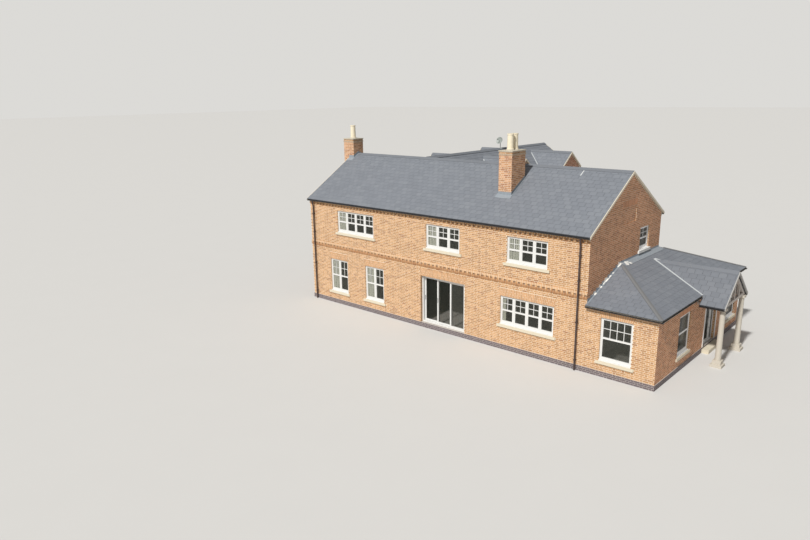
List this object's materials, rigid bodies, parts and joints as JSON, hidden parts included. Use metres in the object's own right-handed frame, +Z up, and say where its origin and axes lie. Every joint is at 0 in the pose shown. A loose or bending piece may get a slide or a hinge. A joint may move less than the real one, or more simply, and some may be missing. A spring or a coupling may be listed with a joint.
{
  "type": "detached house",
  "caption": "Two-storey brick house with slate roofs, gable chimney, rear wing with gablets, hipped lean-to annex, gabled porch, sliding garden doors and hinged front door.",
  "frame": {"origin": "centre of the main block's plan at ground level, on the underside of the ground floor", "axes": "+X along the front to the right, towards the annex; +Y from the front to the rear wing; +Z up"},
  "size_m": [19.718, 14.697, 8.685],
  "materials": {
    "brick": "matt orange-buff and red brickwork with pale mortar",
    "plinth_brick": "dark blue-purple engineering brick",
    "slate": "matt blue-grey natural slate",
    "ridge_tile": "matt dark grey clay ridge tiles",
    "stone": "matt pale stone",
    "floor": "matt concrete floor",
    "floor_boards": "plain timber boards",
    "timber": "weathered grey-brown oak",
    "clay": "matt cream clay",
    "lead": "dull grey lead sheet",
    "gutter_black": "black gutter",
    "pipe_brown": "dark brown pipe",
    "white_frame": "white window and door frames",
    "glass": "clear double glazing",
    "aerial_grey": "matt pale grey painted metal"
  },
  "bodies": {
    "house": {"plinth": "plinth_brick", "ground_floor": "floor", "upper_floor": "floor_boards", "front_wall_left": "brick", "front_wall_right": "brick", "front_wall_over_doors": "brick", "left_gable_wall": "brick", "right_gable_wall": "brick", "rear_wall": "brick", "wing_left_wall": "brick", "wing_right_wall": "brick", "wing_rear_wall": "brick", "annex_front_wall": "brick", "annex_side_wall": "brick", "annex_side_wall_back": "brick", "annex_wall_over_door": "brick", "annex_rear_wall": "brick", "main_roof_front": "slate", "main_roof_back": "slate", "wing_roof": "slate", "gablet_roofs": "slate", "gablet_cheeks": "brick", "annex_roof": "slate", "porch_roof": "slate", "porch_frame": "timber", "porch_columns": "stone", "left_chimney": "brick", "middle_chimney": "brick", "chimney_pots": "clay", "ridge_tiles": "ridge_tile", "lead_flashings": "lead", "gutters": "gutter_black", "downpipes": "pipe_brown", "brick_courses": "brick", "stone_sills": "stone", "front_windows": "white_frame", "right_gable_window": "white_frame", "rear_windows": "white_frame", "annex_windows": "white_frame", "wing_windows": "white_frame", "window_glass": "glass", "garden_door_frame": "white_frame", "entrance_frame": "white_frame", "dish_aerial": "aerial_grey"},
    "garden_door_left": {"garden_door_left": "white_frame"},
    "garden_door_middle": {"garden_door_middle": "white_frame"},
    "entrance_door": {"entrance_door": "white_frame"}
  },
  "joints": [
    {"name": "garden_door_left_slide", "type": "slide", "parent": "house", "child": "garden_door_left", "axis": [1, 0, 0], "range_m": [0, 1.49]},
    {"name": "garden_door_middle_slide", "type": "slide", "parent": "house", "child": "garden_door_middle", "axis": [1, 0, 0], "range_m": [0, 0.745]},
    {"name": "entrance_door_hinge", "type": "hinge", "parent": "house", "child": "entrance_door", "pos_m": [10.229, 1.674, 0.215], "axis": [0, 0, 1], "range_deg": [0, 90]}
  ]
}
